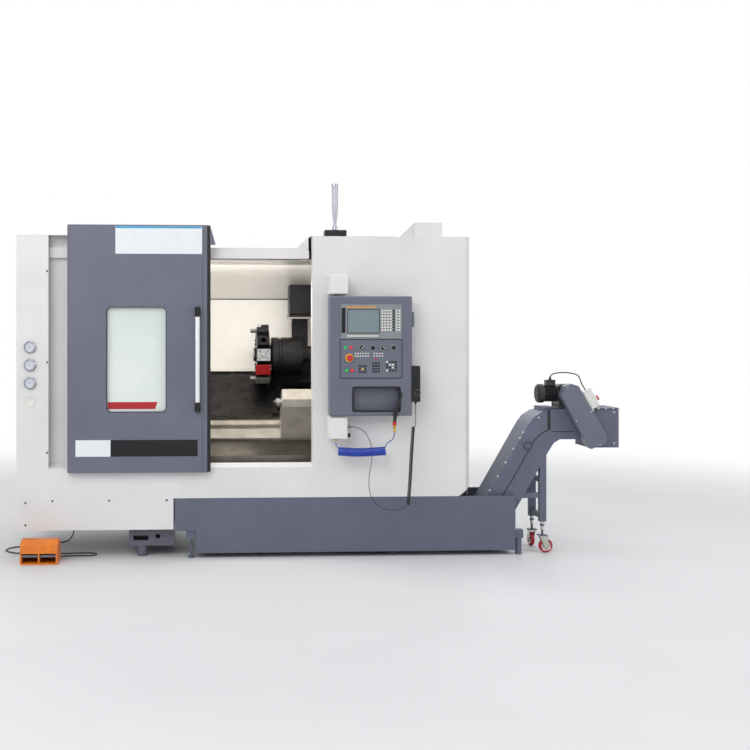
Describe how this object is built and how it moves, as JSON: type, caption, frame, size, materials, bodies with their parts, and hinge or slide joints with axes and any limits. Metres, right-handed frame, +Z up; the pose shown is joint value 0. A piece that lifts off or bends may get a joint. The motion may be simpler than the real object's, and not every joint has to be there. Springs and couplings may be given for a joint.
{
  "type": "cnc turning lathe",
  "caption": "Slant-bed CNC turning lathe with sliding front door, tool turret, tailstock, swinging control panel, chip conveyor and foot pedal.",
  "frame": {"origin": "on the floor under the middle of the whole machine's length and depth, free cords left out", "axes": "+X along the spindle, from the headstock towards the tailstock and the conveyor; +Y from the operator's side to the back; +Z up"},
  "size_m": [4.1471, 1.8369, 2.4743],
  "materials": {
    "white_paint": "satin off-white powder coat",
    "grey_paint": "semi-gloss dark blue-grey paint",
    "cast_paint": "painted cast iron",
    "black_paint": "black paint",
    "stainless": "worn stainless sheet",
    "dark_steel": "dark scraped steel",
    "bright_steel": "ground bright steel",
    "black_plastic": "matt black plastic",
    "pale_plastic": "pale grey plastic",
    "red_plastic": "red plastic",
    "green_plastic": "green plastic",
    "blue_hose": "blue polyurethane hose",
    "black_rubber": "black rubber sheath",
    "orange_paint": "orange paint",
    "red_wheel": "red polyurethane tread",
    "lamp_acrylic": "frosted lamp tube",
    "window_glass": "laminated window pane"
  },
  "bodies": {
    "machine": {"coolant_tank": "grey_paint", "bed_casting": "cast_paint", "front_cover": "white_paint", "right_cover": "white_paint", "lower_skirt": "white_paint", "roof_cover": "white_paint", "rear_cover": "white_paint", "splash_guard": "white_paint", "chip_chute": "stainless", "fixed_front_panel": "white_paint", "headstock": "cast_paint", "spindle_motor": "black_paint", "electrical_cabinet": "white_paint", "tower_lamp_base": "black_paint", "tower_lamp_tube": "lamp_acrylic", "upper_pivot_arm": "white_paint", "conveyor_casing": "grey_paint", "conveyor_chain_guard": "grey_paint", "conveyor_gearmotor": "black_paint", "conveyor_switch_box": "pale_plastic", "conveyor_stand": "grey_paint", "pedal_housing": "orange_paint", "pedal_cable": "black_rubber", "switch_box_cable": "black_rubber"},
    "door": {"door_panel": "grey_paint", "door_window": "window_glass", "door_handle": "bright_steel"},
    "cabinet_door": {"cabinet_door": "white_paint"},
    "spindle": {"spindle": "bright_steel", "chuck_body": "bright_steel"},
    "jaw_1": {"chuck_jaw_1": "bright_steel"},
    "jaw_2": {"chuck_jaw_2": "bright_steel"},
    "jaw_3": {"chuck_jaw_3": "bright_steel"},
    "carriage": {"carriage": "cast_paint"},
    "way_cover_inner": {"way_cover_inner": "dark_steel"},
    "way_cover_outer": {"way_cover_outer": "dark_steel"},
    "cross_slide": {"cross_slide": "cast_paint"},
    "turret": {"turret_disc": "black_paint", "boring_holder": "bright_steel"},
    "tailstock": {"tailstock_body": "cast_paint"},
    "quill": {"tailstock_quill": "bright_steel"},
    "live_center": {"live_center": "bright_steel"},
    "control_panel": {"panel_box": "grey_paint", "cnc_unit": "pale_plastic", "junction_box": "white_paint", "hand_wheel_box": "black_plastic", "air_gun": "black_plastic", "air_hose": "blue_hose", "hand_wheel_cord": "black_rubber"},
    "e_stop": {"e_stop_button": "red_plastic"},
    "mode_knob": {"mode_knob": "black_plastic"},
    "feed_override_knob": {"feed_override_knob": "black_plastic"},
    "cycle_start": {"cycle_start_button": "green_plastic"},
    "feed_hold": {"feed_hold_button": "red_plastic"},
    "pedal_left": {"pedal_tread_left": "cast_paint"},
    "pedal_right": {"pedal_tread_right": "cast_paint"},
    "caster_1": {"caster_fork_1": "bright_steel"},
    "caster_2": {"caster_fork_2": "bright_steel"},
    "wheel_1": {"caster_wheel_1": "red_wheel"},
    "wheel_2": {"caster_wheel_2": "red_wheel"}
  },
  "joints": [
    {"name": "door_slide", "type": "slide", "parent": "machine", "child": "door", "axis": [1, 0, 0], "range_m": [0, 0.69]},
    {"name": "cabinet_door_hinge", "type": "hinge", "parent": "machine", "child": "cabinet_door", "pos_m": [0.6355, 0.8834, 1.2], "axis": [0, 0, 1], "range_deg": [-110, 0]},
    {"name": "spindle_spin", "type": "hinge", "parent": "machine", "child": "spindle", "pos_m": [-1, -0.2905, 1], "axis": [1, 0, 0], "continuous": true},
    {"name": "jaw_1_slide", "type": "slide", "parent": "spindle", "child": "jaw_1", "axis": [0, 0, 1], "range_m": [-0.005, 0.006]},
    {"name": "jaw_2_slide", "type": "slide", "parent": "spindle", "child": "jaw_2", "axis": [0, -0.866, -0.5], "range_m": [-0.005, 0.006]},
    {"name": "jaw_3_slide", "type": "slide", "parent": "spindle", "child": "jaw_3", "axis": [0, 0.866, -0.5], "range_m": [-0.005, 0.006]},
    {"name": "carriage_slide", "type": "slide", "parent": "machine", "child": "carriage", "axis": [1, 0, 0], "range_m": [-0.42, 0.06]},
    {"name": "way_cover_inner_slide", "type": "slide", "parent": "machine", "child": "way_cover_inner", "axis": [1, 0, 0], "range_m": [-0.1401, 0.0201]},
    {"name": "way_cover_outer_slide", "type": "slide", "parent": "machine", "child": "way_cover_outer", "axis": [1, 0, 0], "range_m": [-0.2801, 0.0401]},
    {"name": "cross_slide_feed", "type": "slide", "parent": "carriage", "child": "cross_slide", "axis": [0, -0.7071, -0.7071], "range_m": [0, 0.2]},
    {"name": "turret_index", "type": "hinge", "parent": "cross_slide", "child": "turret", "pos_m": [-0.36, 0.0348, 1.3253], "axis": [1, 0, 0], "continuous": true},
    {"name": "tailstock_slide", "type": "slide", "parent": "machine", "child": "tailstock", "axis": [1, 0, 0], "range_m": [-0.35, 0.15]},
    {"name": "quill_slide", "type": "slide", "parent": "tailstock", "child": "quill", "axis": [-1, 0, 0], "range_m": [0, 0.08]},
    {"name": "live_center_spin", "type": "hinge", "parent": "quill", "child": "live_center", "pos_m": [-0.28, -0.2905, 1], "axis": [1, 0, 0], "continuous": true},
    {"name": "panel_swing", "type": "hinge", "parent": "machine", "child": "control_panel", "pos_m": [0.0735, -0.8255, 1.3], "axis": [0, 0, 1], "range_deg": [-85, 0]},
    {"name": "e_stop_press", "type": "slide", "parent": "control_panel", "child": "e_stop", "axis": [0, 1, 0], "range_m": [0, 0.004], "stiffness_N_per_m": 900},
    {"name": "mode_knob_turn", "type": "hinge", "parent": "control_panel", "child": "mode_knob", "pos_m": [0.2355, -0.8885, 1.382], "axis": [0, 1, 0], "range_deg": [-120, 120]},
    {"name": "feed_override_turn", "type": "hinge", "parent": "control_panel", "child": "feed_override_knob", "pos_m": [0.3755, -0.8885, 1.382], "axis": [0, 1, 0], "range_deg": [-135, 135]},
    {"name": "cycle_start_press", "type": "slide", "parent": "control_panel", "child": "cycle_start", "axis": [0, 1, 0], "range_m": [0, 0.003], "stiffness_N_per_m": 500},
    {"name": "feed_hold_press", "type": "slide", "parent": "control_panel", "child": "feed_hold", "axis": [0, 1, 0], "range_m": [0, 0.003], "stiffness_N_per_m": 500},
    {"name": "pedal_left_press", "type": "hinge", "parent": "machine", "child": "pedal_left", "pos_m": [-1.8985, -0.7445, 0.036], "axis": [1, 0, 0], "range_deg": [0, 8], "stiffness_Nm_per_rad": 12, "springref_deg": -5.73},
    {"name": "pedal_right_press", "type": "hinge", "parent": "machine", "child": "pedal_right", "pos_m": [-1.7855, -0.7445, 0.036], "axis": [1, 0, 0], "range_deg": [0, 8], "stiffness_Nm_per_rad": 12, "springref_deg": -5.73},
    {"name": "caster_1_swivel", "type": "hinge", "parent": "machine", "child": "caster_1", "pos_m": [1.4905, -0.6685, 0.1], "axis": [0, 0, 1], "continuous": true},
    {"name": "caster_2_swivel", "type": "hinge", "parent": "machine", "child": "caster_2", "pos_m": [1.4905, -0.4425, 0.1], "axis": [0, 0, 1], "continuous": true},
    {"name": "wheel_1_roll", "type": "hinge", "parent": "caster_1", "child": "wheel_1", "pos_m": [1.5125, -0.6685, 0.047], "axis": [0, 1, 0], "continuous": true},
    {"name": "wheel_2_roll", "type": "hinge", "parent": "caster_2", "child": "wheel_2", "pos_m": [1.4905, -0.4205, 0.047], "axis": [1, 0, 0], "continuous": true}
  ],
  "couplings": [
    {"joint": "jaw_2_slide", "follows": "jaw_1_slide", "ratio": 1},
    {"joint": "jaw_3_slide", "follows": "jaw_1_slide", "ratio": 1},
    {"joint": "way_cover_inner_slide", "follows": "carriage_slide", "ratio": 0.33333},
    {"joint": "way_cover_outer_slide", "follows": "carriage_slide", "ratio": 0.66667}
  ]
}
